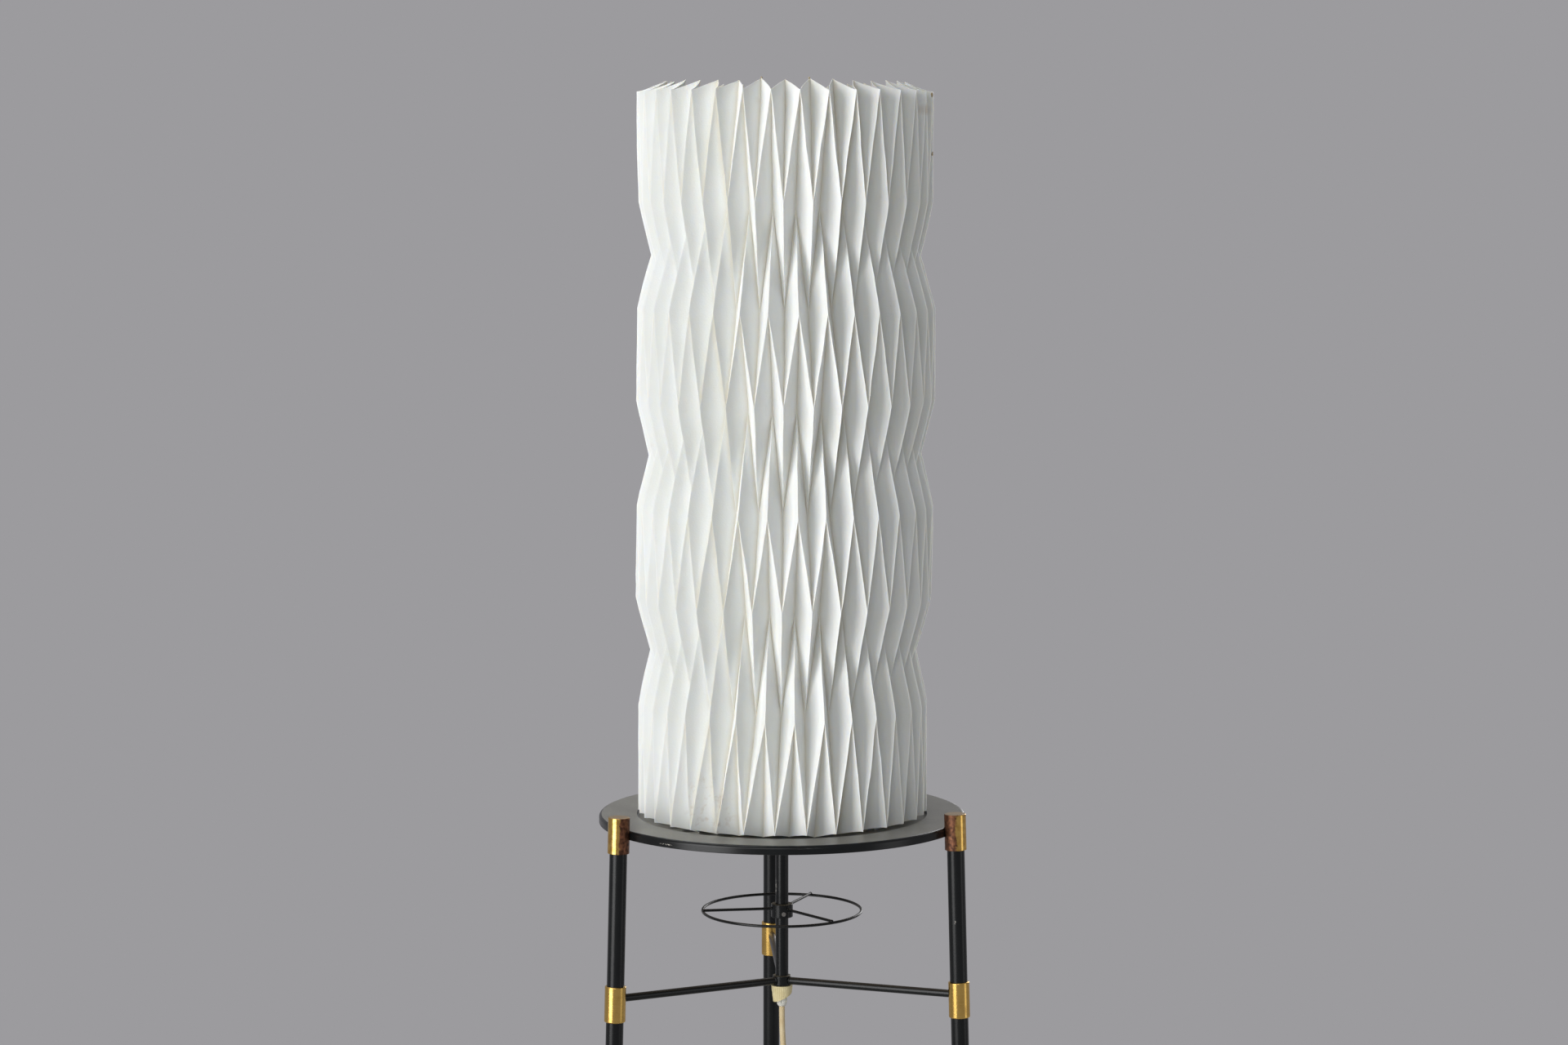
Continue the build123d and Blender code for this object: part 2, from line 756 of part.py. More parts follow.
def tail_route():
    """From the coil to the plug."""
    _, leave = coil_ends()
    return [
        leave,
        (leave[0] - 10.0, leave[1], leave[2]),
        (leave[0] - 22.0, leave[1] + 0.5, leave[2] - 2.0),
        (plug_end_x + 10.0, leave[1] + 0.5, plug_axis_z),
        (plug_end_x, leave[1] + 0.5, plug_axis_z),
    ]


def cord_stretch(points):
    path = rounded_route(points)
    solid = swept_tube(path, cord_r)
    ideal_volume = math.pi * cord_r ** 2 * path.length
    share = solid.volume / ideal_volume
    print("  length %.1f mm, volume against section times length %.4f" % (path.length, share))
    return solid


# ------------------------------------------------------------ switch and plug on the cord
def switch_pieces():
    centre = Pos(switch_start[0] + switch_l / 2, switch_start[1], switch_axis_z)
    body = Box(switch_l, switch_w, switch_h)
    body = fillet(body.edges().filter_by(Axis.Z), 7.0)
    body = fillet(body.faces().sort_by(Axis.Z)[-1].edges(), 2.0)
    well = Pos(0, 0, switch_h / 2) * Box(rocker_l + 1.0, rocker_w + 0.8, 11.0)
    pivot_z = switch_h / 2 - 1.5
    pivot_hole = Pos(0, 0, pivot_z) * Rot(90, 0, 0) * Cylinder(1.05, rocker_w + 4.8)
    body = body - well - pivot_hole
    rocker = Pos(0, 0, pivot_z) * Rot(90, 0, 0) * Cylinder(rocker_l / 2 - 0.4, rocker_w)
    keep = Pos(0, 0, pivot_z) * Box(rocker_l, rocker_w, 5.6)
    dish = Pos(0, 0, pivot_z + 15.6) * Rot(90, 0, 0) * Cylinder(14.0, rocker_w + 2)
    rocker = (rocker & keep) - dish
    rocker += Pos(0, 0, pivot_z) * Rot(90, 0, 0) * Cylinder(1.0, rocker_w + 4.4)
    return centre * body, centre * Pos(0, 0, pivot_z) * Rot(0, rocker_tilt, 0) * Pos(0, 0, -pivot_z) * rocker


def plug_pieces():
    _, leave = coil_ends()
    place = Pos(plug_end_x, leave[1] + 0.5, plug_axis_z) * Rot(0, 0, 180)
    outline = FilletPolyline(
        (0, -5.0, 0), (7.0, -6.5, 0), (18.0, -plug_w / 2, 0), (plug_l, -plug_w / 2, 0),
        (plug_l, plug_w / 2, 0), (18.0, plug_w / 2, 0), (7.0, 6.5, 0), (0, 5.0, 0),
        radius=[0, 6, 9, 2, 2, 9, 6, 0], close=True,
    )
    body = Pos(0, 0, -plug_h / 2) * extrude(make_face(outline), plug_h)
    body = fillet(body.edges().group_by(Axis.Z)[-1] + body.edges().group_by(Axis.Z)[0], 1.6)
    pin = rod(pin_d / 2, 0, pin_l)
    pin = fillet(pin.edges().sort_by(Axis.Z)[-1], pin_tip_round)
    pins = [place * Pos(0, side * pin_spacing / 2, 0) * across(pin, plug_l, 0) for side in (-1, 1)]
    return place * body, pins


# ------------------------------------------------------------ write the parts
def write(name, shape):
    solids = []
    for piece in shape if isinstance(shape, list) else [shape]:
        solids += (Pos(0, axis_y, 0) * piece).solids()
    whole = solids[0] if len(solids) == 1 else Compound(children=solids)
    export_step(whole, os.path.join("parts", name + ".step"))


def main():
    os.makedirs("parts", exist_ok=True)
    print("the lamp's axis stands at y = %.2f mm" % axis_y)
    write("shade_paper", shade_paper())
    write("shade_seam_lap", shade_seam_lap())
    write("shade_disc", disc())
    write("disc_screws", disc_screws())
    for side, heading in leg_headings.items():
        for name, shape in leg_pieces(heading).items():
            write(name + "_" + side, shape)
    write("brace_hub", brace_hub())
    write("stem_tube", stem_tube())
    write("stem_washers", stem_washers())
    write("stem_nuts", stem_nuts())

    ring_screw_z = ring_z - 2.0
    write("ring_collar", collar(ring_z, stem_r + slide_gap, ring_screw_heading, ring_screw_z))
    write("ring_set_screw", set_screw(ring_screw_heading, ring_screw_z))
    write("wire_ring", wire_ring())

    write("arm_collar", arm_collar())
    write("arm_set_screw", set_screw(arm_heading + 180, arm_collar_z))
    write("lamp_arm", lamp_arm())
    lower_place = Pos(*polar(arm_reach, arm_heading, arm_top_z - holder_neck_h))
    upper_place = Pos(0, 0, stem_top_z - holder_neck_h)
    supports = (("upper", upper_place, stem_r), ("lower", lower_place, arm_d / 2))
    for level, place, support_r in supports:
        write("holder_housing_" + level, place * holder_housing(support_r))
        write("holder_insert_" + level, place * holder_insert())
        write("holder_contacts_" + level, [place * piece for piece in holder_contacts()])
        write("bulb_base_" + level, place * bulb_base())
        write("bulb_glass_" + level, place * bulb_glass())
    write("inner_leads", inner_leads())

    write("cord_bushing", cord_bushing())
    write("cord_grip", cord_grip())
    write("cord_drop", cord_stretch(drop_route))
    switch_body, switch_rocker = switch_pieces()
    write("switch_body", switch_body)
    write("switch_rocker", switch_rocker)
    write("cord_link", cord_stretch(link_route()))
    write("cord_coil", cord_coil())
    write("coil_tie", coil_tie())
    write("cord_tail", cord_stretch(tail_route()))
    plug_body, plug_pins = plug_pieces()
    write("plug_body", plug_body)
    write("plug_pins", plug_pins)


main()
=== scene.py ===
"""Looks of the pleated paper lamp on its black tripod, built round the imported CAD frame.

Metres, +Z up. New pieces are placed from the boxes of the CAD nodes that carry them.
"""
import json
import math
import random

import bpy
from mathutils import Matrix, Vector, noise


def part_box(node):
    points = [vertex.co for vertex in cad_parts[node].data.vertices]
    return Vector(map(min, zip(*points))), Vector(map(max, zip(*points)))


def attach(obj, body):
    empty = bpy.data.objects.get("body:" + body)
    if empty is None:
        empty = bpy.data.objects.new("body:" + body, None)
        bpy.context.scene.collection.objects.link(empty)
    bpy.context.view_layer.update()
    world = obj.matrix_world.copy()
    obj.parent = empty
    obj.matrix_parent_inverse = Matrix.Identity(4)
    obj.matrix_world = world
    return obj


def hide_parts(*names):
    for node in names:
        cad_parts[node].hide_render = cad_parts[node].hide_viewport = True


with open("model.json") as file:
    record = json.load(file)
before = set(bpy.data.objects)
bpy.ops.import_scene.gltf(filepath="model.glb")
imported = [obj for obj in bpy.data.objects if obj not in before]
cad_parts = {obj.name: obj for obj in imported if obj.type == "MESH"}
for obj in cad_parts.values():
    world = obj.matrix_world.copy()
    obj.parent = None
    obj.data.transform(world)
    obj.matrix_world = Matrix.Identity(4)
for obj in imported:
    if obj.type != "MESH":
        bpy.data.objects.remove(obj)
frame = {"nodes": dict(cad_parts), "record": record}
bpy.ops.object.select_all(action="DESELECT")
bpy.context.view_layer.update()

MM = 0.001


# ------------------------------------------------------------ places taken from the frame
def node_box(name):
    """Lowest corner, highest corner and middle of a node at rest."""
    low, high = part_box(name)
    return low, high, (low + high) / 2


_, _, stem_middle = node_box("stem_tube")
axis = Vector((stem_middle.x, stem_middle.y, 0))
disc_low, disc_high, _ = node_box("shade_disc")
disc_top = disc_high.z
disc_r = (disc_high.x - disc_low.x) / 2
grip_low, grip_high, _ = node_box("cord_grip")
hub_low, hub_high, hub_middle = node_box("brace_hub")
ring_low, ring_high, _ = node_box("wire_ring")
collar_low, collar_high, _ = node_box("ring_collar")


def polar(radius, degrees, height=0.0):
    """Point round the lamp's axis, at a height above the floor."""
    angle = math.radians(degrees)
    return axis + Vector((radius * math.cos(angle), radius * math.sin(angle), height))


# ------------------------------------------------------------ camera and lamps
sensor_width = 36
photo_w = 1920
focal_px = 4400
camera_distance = 3.3       # metres from the lamp's axis
camera_rise = 0.6           # above the top of the disc
camera_tilt = 5.7           # degrees down
camera_heading = 3.3        # degrees from +Y towards +X
camera_aside = 0.0019       # the lamp stands a little left of the picture's middle
aim_high = (0, 0, 1.2)
aim_middle = (0, 0, 1.1)
aim_low = (0, 0, 1.0)
soft_lamps = (
    # name, place, aim, width and height, watts
    ("key", (-2.2, -1.85, 1.45), aim_high, (1.8, 2.8), 72),
    ("front", (-0.7, -3.4, 2.0), aim_middle, (1.6, 1.2), 18),
    ("fill", (2.6, -1.1, 1.0), aim_low, (0.9, 1.9), 5),
    ("top", (-0.6, 0.6, 3.2), aim_high, (1.6, 1.6), 16),
    ("back", (1.5, 2.6, 1.7), aim_middle, (1.4, 2.2), 34),
)


def place_camera():
    """The camera at the photo's viewing angle, looking a little down on the disc."""
    data = bpy.data.cameras.new("camera")
    data.sensor_width = sensor_width
    data.lens = focal_px / photo_w * sensor_width
    data.clip_start = 0.1
    data.clip_end = 100
    camera = bpy.data.objects.new("camera", data)
    bpy.context.scene.collection.objects.link(camera)
    heading = math.radians(camera_heading)
    forward = Vector((math.sin(heading), math.cos(heading), 0))
    right = Vector((math.cos(heading), -math.sin(heading), 0))
    camera.location = axis - forward * camera_distance + right * camera_aside
    camera.location.z = disc_top + camera_rise
    camera.rotation_euler = (math.radians(90 - camera_tilt), 0, -heading)
    bpy.context.scene.camera = camera


def soft_lamp(name, place, aim, size, power):
    """A large soft area lamp that the camera doesn't see, turned towards aim."""
    data = bpy.data.lights.new(name, "AREA")
    data.shape = "RECTANGLE"
    data.size, data.size_y = size
    data.energy = power
    lamp = bpy.data.objects.new(name, data)
    bpy.context.scene.collection.objects.link(lamp)
    lamp.location = place
    towards = Vector(aim) - Vector(place)
    lamp.rotation_euler = towards.to_track_quat("-Z", "Y").to_euler()
    lamp.visible_camera = False


# ------------------------------------------------------------ colours and nodes
def colour(code):
    """sRGB hex to the linear colour that a shader takes."""
    channels = [int(code[i:i + 2], 16) / 255 for i in (1, 3, 5)]
    linear = [c / 12.92 if c <= 0.04045 else ((c + 0.055) / 1.055) ** 2.4 for c in channels]
    return (*linear, 1.0)


def connect(tree, node, links):
    """Gives each input, by name or number, a value or another node's output."""
    for key, value in links.items():
        if isinstance(value, bpy.types.NodeSocket):
            tree.links.new(value, node.inputs[key])
        else:
            node.inputs[key].default_value = value


def add(tree, kind, links=None, **settings):
    """Adds one node with its settings and links."""
    made = tree.nodes.new(kind)
    for name, value in settings.items():
        setattr(made, name, value)
    connect(tree, made, links or {})
    return made


def start_material(name, **sockets):
    """A principled material. Socket names are written with _ for a space."""
    material = bpy.data.materials.new(name)
    material.use_nodes = True
    shader = material.node_tree.nodes["Principled BSDF"]
    for socket, value in sockets.items():
        shader.inputs[socket.replace("_", " ")].default_value = value
    return material, material.node_tree, shader


def per_metre(size_mm):
    """Texture scale whose features are about size_mm across."""
    return 1 / (size_mm * MM)


def speckle(tree, place, size_mm, low, high, detail=3.0, least=0.0, most=1.0):
    """Noise with features of size_mm: least where it is below low, most where it is above high."""
    grain = add(tree, "ShaderNodeTexNoise", {
        "Vector": place, "Scale": per_metre(size_mm), "Detail": detail,
    })
    return add(tree, "ShaderNodeMapRange", {
        "Value": grain.outputs["Fac"], "From Min": low, "From Max": high,
        "To Min": least, "To Max": most,
    }).outputs["Result"]


patch_core = 0.55           # share of a patch's reach over which it is full


def patch(tree, place, middle, reach, most=1.0):
    """An ellipsoid round middle: most in its core, fading to 0 at its edge."""
    shifted = add(tree, "ShaderNodeVectorMath", {0: place, 1: middle}, operation="SUBTRACT")
    scaled = add(tree, "ShaderNodeVectorMath", {0: shifted.outputs[0], 1: reach}, operation="DIVIDE")
    length = add(tree, "ShaderNodeVectorMath", {0: scaled.outputs[0]}, operation="LENGTH")
    return add(tree, "ShaderNodeMapRange", {
        "Value": length.outputs["Value"], "From Min": patch_core, "From Max": 1.0,
        "To Min": most, "To Max": 0.0,
    }).outputs["Result"]


def seen_by_eye(tree):
    """1 for rays that come from the camera straight, by reflection or through glass, 0 for light."""
    ray = add(tree, "ShaderNodeLightPath")
    straight = add(tree, "ShaderNodeMath", {
        0: ray.outputs["Is Camera Ray"], 1: ray.outputs["Is Glossy Ray"],
    }, operation="MAXIMUM").outputs[0]
    return add(tree, "ShaderNodeMath", {
        0: straight, 1: ray.outputs["Is Transmission Ray"],
    }, operation="MAXIMUM").outputs[0]


# ------------------------------------------------------------ materials
foxing_place = Vector((axis.x - 72 * MM, axis.y - 105 * MM, disc_top + 22 * MM))
foxing_reach = (30 * MM, 50 * MM, 40 * MM)
tape_from_seam = Vector((-9, -14, -16)) * MM
tape_reach = (12 * MM, 20 * MM, 7 * MM)
ridge_highlight_cm = 0.09        # width of the painted highlight along a ridge fold
valley_painted_shade_cm = 0.55      # width of the painted shade, cream, along a valley fold


def folded_paper():
    """Uncoated white shade paper, pleated by hand: matt, lit through, with painted shade along the
    valley folds and a painted highlight along the ridge folds.
    """
    material, tree, shader = start_material(
        "folded_paper", Roughness=0.82, IOR=1.47, Subsurface_Weight=1.0, Subsurface_Scale=0.0004,
    )
    place = add(tree, "ShaderNodeTexCoord").outputs["Object"]
    creases = add(tree, "ShaderNodeUVMap", uv_map="creases")    # the map is in centimetres
    apart = add(tree, "ShaderNodeSeparateXYZ", {0: creases.outputs["UV"]})
    # painted highlight: a pale band along each ridge fold, where the rounded crease would catch light
    ridge = add(tree, "ShaderNodeMapRange", {
        "Value": apart.outputs["X"], "From Max": ridge_highlight_cm, "To Min": 0.8, "To Max": 0.0,
    }).outputs["Result"]
    # painted shade: a cream band along each valley fold, standing in for the shade deep in the pleats
    valley = add(tree, "ShaderNodeMapRange", {
        "Value": apart.outputs["Y"], "From Max": valley_painted_shade_cm, "To Min": 0.6, "To Max": 0.0,
    }).outputs["Result"]
    # faint brown foxing low on the left of the front, rare specks all over, dry tape by the seam
    marks = add(tree, "ShaderNodeMath", {
        0: speckle(tree, place, 7, 0.55, 0.72),
        1: patch(tree, place, foxing_place, foxing_reach, most=0.28),
    }, operation="MULTIPLY").outputs[0]
    tape_place = crease_point(top_row, seam_column) + tape_from_seam
    for more in (speckle(tree, place, 14, 0.68, 0.8, most=0.07),
                 patch(tree, place, tape_place, tape_reach, most=0.25)):
        marks = add(tree, "ShaderNodeMath", {0: marks, 1: more}, operation="MAXIMUM").outputs[0]
    base = colour("#ebedec")
    # the valley and ridge shares mix in painted shade and a painted highlight; the others are the
    # paper's own tone and marks
    for share, code in ((speckle(tree, place, 60, 0.3, 0.75), "#e6e8e5"), (valley, "#dfdacb"),
                        (ridge, "#f5f7f6"), (marks, "#a98c6a")):
        base = add(tree, "ShaderNodeMix", {"Factor": share, 6: base, 7: colour(code)},
                   data_type="RGBA").outputs[2]
    fibres = speckle(tree, place, 1.6, 0.3, 0.7, detail=4.0)    # drawn coarser than the real fibres
    bump = add(tree, "ShaderNodeBump", {"Height": fibres, "Distance": 0.05 * MM, "Strength": 1.0})
    connect(tree, shader, {
        "Base Color": base, "Normal": bump.outputs["Normal"], "Subsurface Radius": (1.0, 0.9, 0.75),
    })
    return material


def black_lacquer(name, dust_colour, dust_share, dust_from, chips=(), dusty_rough=0.6):
    """Sprayed stoving enamel on steel: deep black satin gloss, slight orange peel, dust, chips.

    Dust lies where the surface faces up more than dust_from. chips lists the middle and the reach
    of each place where the paint is knocked off down to the grey primer."""
    material, tree, shader = start_material(name, IOR=1.5, Specular_IOR_Level=0.3)
    coordinates = add(tree, "ShaderNodeTexCoord")
    place = coordinates.outputs["Object"]
    up = add(tree, "ShaderNodeSeparateXYZ", {0: coordinates.outputs["Normal"]}).outputs["Z"]
    dust_full = dust_from + (1 - dust_from) * 0.8
    dust = add(tree, "ShaderNodeMapRange", {
        "Value": up, "From Min": dust_from, "From Max": dust_full, "To Max": dust_share,
    }).outputs["Result"]
    for thinned in (speckle(tree, place, 26, 0.3, 0.7, least=0.8),
                    speckle(tree, place, 1.4, 0.35, 0.65, least=0.78)):
        dust = add(tree, "ShaderNodeMath", {0: dust, 1: thinned}, operation="MULTIPLY").outputs[0]
    bare = speckle(tree, place, 4, 0.8, 0.81)
    for middle, reach in chips:
        near = add(tree, "ShaderNodeMath", {
            0: patch(tree, place, middle, reach), 1: speckle(tree, place, 1.1, 0.52, 0.56),
        }, operation="MULTIPLY").outputs[0]
        bare = add(tree, "ShaderNodeMath", {0: bare, 1: near}, operation="MAXIMUM").outputs[0]
    base = colour("#080a0b")
    for share, code in ((speckle(tree, place, 30, 0.3, 0.7), "#0d1011"), (dust, dust_colour),
                        (bare, "#a9a59d")):
        base = add(tree, "ShaderNodeMix", {"Factor": share, 6: base, 7: colour(code)},
                   data_type="RGBA").outputs[2]
    dull = add(tree, "ShaderNodeMath", {0: dust, 1: bare}, operation="MAXIMUM").outputs[0]
    rough = add(tree, "ShaderNodeMapRange", {
        "Value": dull, "From Max": 0.6, "To Min": 0.27, "To Max": dusty_rough,
    })
    peel = speckle(tree, place, 2.5, 0.2, 0.8, detail=1.0)
    bump = add(tree, "ShaderNodeBump", {"Height": peel, "Distance": 0.006 * MM, "Strength": 1.0})
    connect(tree, shader, {
        "Base Color": base, "Roughness": rough.outputs["Result"], "Normal": bump.outputs["Normal"],
    })
    return material


def turned_brass():
    """Brass tube turned on a lathe and lacquered: fine rings, soft satin glint, a few dark pits."""
    material, tree, shader = start_material("turned_brass", Metallic=1.0)
    place = add(tree, "ShaderNodeTexCoord").outputs["Object"]
    along = add(tree, "ShaderNodeMapping", {0: place, "Scale": (0.04, 0.04, 1.0)}).outputs[0]
    rings = speckle(tree, along, 0.6, 0.3, 0.7, detail=2.0)     # coarser than real tool marks
    tarnish_most = 0.45
    tarnish = speckle(tree, place, 8, 0.48, 0.8, detail=5.0, most=tarnish_most)
    pits = speckle(tree, place, 1.8, 0.73, 0.77, most=0.8)
    base = colour("#dcb769")
    for share, code in ((rings, "#d2aa5a"), (tarnish, "#9a7238"), (pits, "#4a3218")):
        base = add(tree, "ShaderNodeMix", {"Factor": share, 6: base, 7: colour(code)},
                   data_type="RGBA").outputs[2]
    rough = add(tree, "ShaderNodeMapRange", {
        "Value": tarnish, "From Max": tarnish_most, "To Min": 0.2, "To Max": 0.34,
    })
    bump = add(tree, "ShaderNodeBump", {"Height": rings, "Distance": 0.002 * MM, "Strength": 1.0})
    connect(tree, shader, {
        "Base Color": base, "Roughness": rough.outputs["Result"], "Normal": bump.outputs["Normal"],
    })
    return material


def patinated_brass():
    """Brass caps: bright where hands polish the outer side, brown oxide towards the shade."""
    material, tree, shader = start_material("patinated_brass")
    coordinates = add(tree, "ShaderNodeTexCoord")
    place, normal = coordinates.outputs["Object"], coordinates.outputs["Normal"]
    from_axis = add(tree, "ShaderNodeVectorMath", {0: place, 1: axis}, operation="SUBTRACT").outputs[0]
    level = add(tree, "ShaderNodeVectorMath", {
        0: from_axis, 1: (1, 1, 0),
    }, operation="MULTIPLY").outputs[0]
    outward = add(tree, "ShaderNodeVectorMath", {0: level}, operation="NORMALIZE").outputs[0]
    facing = add(tree, "ShaderNodeVectorMath", {0: outward, 1: normal}, operation="DOT_PRODUCT")
    ragged = add(tree, "ShaderNodeMath", {
        0: facing.outputs["Value"],
        1: speckle(tree, place, 3.5, 0.25, 0.75, detail=6.0, least=-0.14, most=0.14),
    }, operation="ADD").outputs[0]
    oxide = add(tree, "ShaderNodeMapRange", {
        "Value": ragged, "From Min": 0.46, "From Max": 0.6, "To Min": 1.0, "To Max": 0.0,
    }).outputs["Result"]
    up = add(tree, "ShaderNodeSeparateXYZ", {0: normal}).outputs["Z"]
    top = add(tree, "ShaderNodeMapRange", {
        "Value": up, "From Min": 0.6, "From Max": 0.9,
    }).outputs["Result"]
    top_dust = add(tree, "ShaderNodeMath", {0: top, 1: 0.8}, operation="MULTIPLY").outputs[0]
    brown = add(tree, "ShaderNodeMix", {
        "Factor": speckle(tree, place, 3, 0.35, 0.65, detail=6.0),
        6: colour("#84583f"), 7: colour("#432a1e"),
    }, data_type="RGBA").outputs[2]
    base = colour("#dcb566")
    for share, tone in ((speckle(tree, place, 5, 0.4, 0.75), colour("#bd9048")), (oxide, brown),
                        (speckle(tree, place, 1.6, 0.68, 0.73), colour("#33200f")),
                        (top_dust, colour("#b09a78"))):
        base = add(tree, "ShaderNodeMix", {"Factor": share, 6: base, 7: tone},
                   data_type="RGBA").outputs[2]
    worn = add(tree, "ShaderNodeMath", {0: oxide, 1: top}, operation="MAXIMUM").outputs[0]
    rough = add(tree, "ShaderNodeMapRange", {"Value": worn, "To Min": 0.17, "To Max": 0.4})
    metal = add(tree, "ShaderNodeMapRange", {"Value": worn, "To Min": 1.0, "To Max": 0.75})
    relief = speckle(tree, place, 1.6, 0.3, 0.7, detail=4.0)
    bump = add(tree, "ShaderNodeBump", {"Height": relief, "Distance": 0.008 * MM, "Strength": 1.0})
    connect(tree, shader, {
        "Base Color": base, "Roughness": rough.outputs["Result"], "Metallic": metal.outputs["Result"],
        "Normal": bump.outputs["Normal"],
    })
    return material


def plain_finish(name, first, second, size_mm, bump_mm, bump_size_mm, **sockets):
    """A finish of two close colours in soft patches with a fine relief."""
    material, tree, shader = start_material(name, **sockets)
    place = add(tree, "ShaderNodeTexCoord").outputs["Object"]
    base = add(tree, "ShaderNodeMix", {
        "Factor": speckle(tree, place, size_mm, 0.3, 0.7), 6: colour(first), 7: colour(second),
    }, data_type="RGBA").outputs[2]
    relief = speckle(tree, place, bump_size_mm, 0.25, 0.75)
    bump = add(tree, "ShaderNodeBump", {"Height": relief, "Distance": bump_mm * MM, "Strength": 1.0})
    connect(tree, shader, {
        "Base Color": base, "Normal": bump.outputs["Normal"], "Subsurface Radius": (1.0, 0.95, 0.88),
    })
    return material


def small_finishes():
    """Materials of the small parts, by the record's slot. Each comment says what the eye gets."""
    return {
        # moulded natural rubber: dead matt, greyed by the floor
        "rubber": plain_finish("moulded_rubber", "#1b1a19", "#2b2927", 6, 0.05, 1.2, Roughness=0.86),
        # zinc-plated steel: grey satin with a spangle
        "steel_fasteners": plain_finish(
            "zinc_plated_steel", "#a3a19c", "#85827c", 3, 0.01, 0.8, Metallic=1.0, Roughness=0.36),
        # phenolic resin, compression moulded: brown-black, hard gloss, faint flow marks
        "holder_moulding": plain_finish(
            "moulded_phenolic", "#1d1512", "#2a1d17", 12, 0.02, 4, Roughness=0.24, IOR=1.6),
        # glazed steatite: off-white, glassy
        "holder_ceramic": plain_finish(
            "glazed_steatite", "#e9e4d8", "#dcd5c6", 10, 0.02, 5, Roughness=0.18, IOR=1.55),
        # stamped sheet brass: warm, satin, a little tarnished
        "contact_brass": plain_finish(
            "stamped_brass", "#c79c52", "#a87d38", 5, 0.01, 1.5, Metallic=1.0, Roughness=0.33),
        # rolled aluminium of a bulb's cap: light, satin
        "bulb_metal": plain_finish(
            "rolled_aluminium", "#cfcfcd", "#b7b7b4", 6, 0.01, 1.0, Metallic=1.0, Roughness=0.34),
        # opal glass: white, glassy skin, light scatters inside
        "bulb_glass": plain_finish(
            "opal_glass", "#f1efe8", "#e9e6dc", 25, 0.005, 8, Roughness=0.16, IOR=1.5,
            Subsurface_Weight=0.8, Subsurface_Scale=0.0008),
        # aged urea resin: cream, satin, yellowed in patches
        "cream_plastic": plain_finish(
            "moulded_urea", "#e3d7aa", "#d6c794", 7, 0.02, 1.5, Roughness=0.42, IOR=1.55),
        # soft vinyl of the grip: milky, scatters light
        "clear_plastic": plain_finish(
            "milky_vinyl", "#e2e2dc", "#cfcec6", 5, 0.03, 2, Roughness=0.3, IOR=1.5,
            Subsurface_Weight=0.6, Subsurface_Scale=0.0015),
        # vinyl-sheathed flex: cream gone tan, satin, a little dirt
        "cord_cream": plain_finish(
            "vinyl_flex", "#dccba4", "#cdb78b", 16, 0.02, 2.5, Roughness=0.38, IOR=1.52),
        # urea resin of switch and plug: cream, smoother than the bushing
        "switch_cream": plain_finish(
            "moulded_urea_switch", "#ddd0ab", "#d0c097", 14, 0.01, 3, Roughness=0.33, IOR=1.55),
        # nickel-plated brass pins: silvery with a warm cast
        "pin_metal": plain_finish(
            "nickel_plated_pin", "#cfc8b4", "#b8ae93", 4, 0.01, 1.5, Metallic=1.0, Roughness=0.2),
        # dried hide glue and waxed thread: brown, a little glossy, lumpy
        "glue": plain_finish(
            "dried_glue", "#c2b69a", "#a3916f", 5, 0.15, 3, Roughness=0.45, IOR=1.48),
    }


def pale_floor():
    """Painted studio floor. Far from the lamp it fades into the same plain tone as the backdrop."""
    material, tree, shader = start_material("pale_floor", Roughness=0.7)
    shader.inputs["Base Color"].default_value = colour(floor_tone)
    place = add(tree, "ShaderNodeTexCoord").outputs["Object"]
    distance = add(tree, "ShaderNodeVectorMath", {0: place}, operation="LENGTH").outputs["Value"]
    far = add(tree, "ShaderNodeMapRange", {
        "Value": distance, "From Min": floor_fade[0], "From Max": floor_fade[1],
    }, interpolation_type="SMOOTHSTEP").outputs["Result"]
    shown = add(tree, "ShaderNodeMath", {
        0: far, 1: seen_by_eye(tree),
    }, operation="MULTIPLY").outputs[0]
    glow = add(tree, "ShaderNodeEmission", {"Color": colour(backdrop_tone), "Strength": 1.0})
    mixed = add(tree, "ShaderNodeMixShader", {0: shown, 1: shader.outputs[0], 2: glow.outputs[0]})
    tree.links.new(mixed.outputs[0], tree.nodes["Material Output"].inputs["Surface"])
    return material


# ------------------------------------------------------------ small modelling helpers
def edit_mode():
    """Edit mode with vertices to pick and nothing selected."""
    bpy.ops.object.mode_set(mode="EDIT")
    bpy.ops.mesh.select_mode(type="VERT")
    bpy.ops.mesh.select_all(action="DESELECT")


def object_mode():
    bpy.ops.object.mode_set(mode="OBJECT")


def select_alone(piece):
    """Makes one object the only selected and the active one."""
    bpy.ops.object.select_all(action="DESELECT")
    piece.select_set(True)
    bpy.context.view_layer.objects.active = piece


def pick_vertices(piece, wanted):
    """In object mode, selects the vertices for which wanted(vertex) holds, and nothing else."""
    for polygon in piece.data.polygons:
        polygon.select = False
    for edge in piece.data.edges:
        edge.select = False
    for vertex in piece.data.vertices:
        vertex.select = wanted(vertex)


def rest_in_mesh(piece):
    """Puts the piece's place into its mesh, so that its object sits at the origin."""
    select_alone(piece)
    bpy.ops.object.transform_apply(location=True, rotation=True, scale=True)


def dress(piece, material, body, slot, *replaced):
    """Gives a finished piece its material, the body that it rides on and the nodes it stands for."""
    piece.data.materials.clear()
    piece.data.materials.append(material)
    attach(piece, body)
    if replaced:
        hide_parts(*replaced)
    bpy.ops.object.select_all(action="DESELECT")


# ------------------------------------------------------------ cord
cord_r = 2.7 * MM
coil_turns_lower = 7        # half turns in the lower layer
coil_out_r = 42.5 * MM
coil_pitch = 5.9 * MM
coil_low_z = 3.6 * MM
coil_high_z = coil_low_z + coil_pitch
coil_centre = Vector((138.0, 33.0, 0)) * MM
coil_points_per_half = 8

lead_mm = 9.0               # straight cord out of the switch and into the coil
tail_step_mm = 10.0         # straight cord out of the coil and into the plug
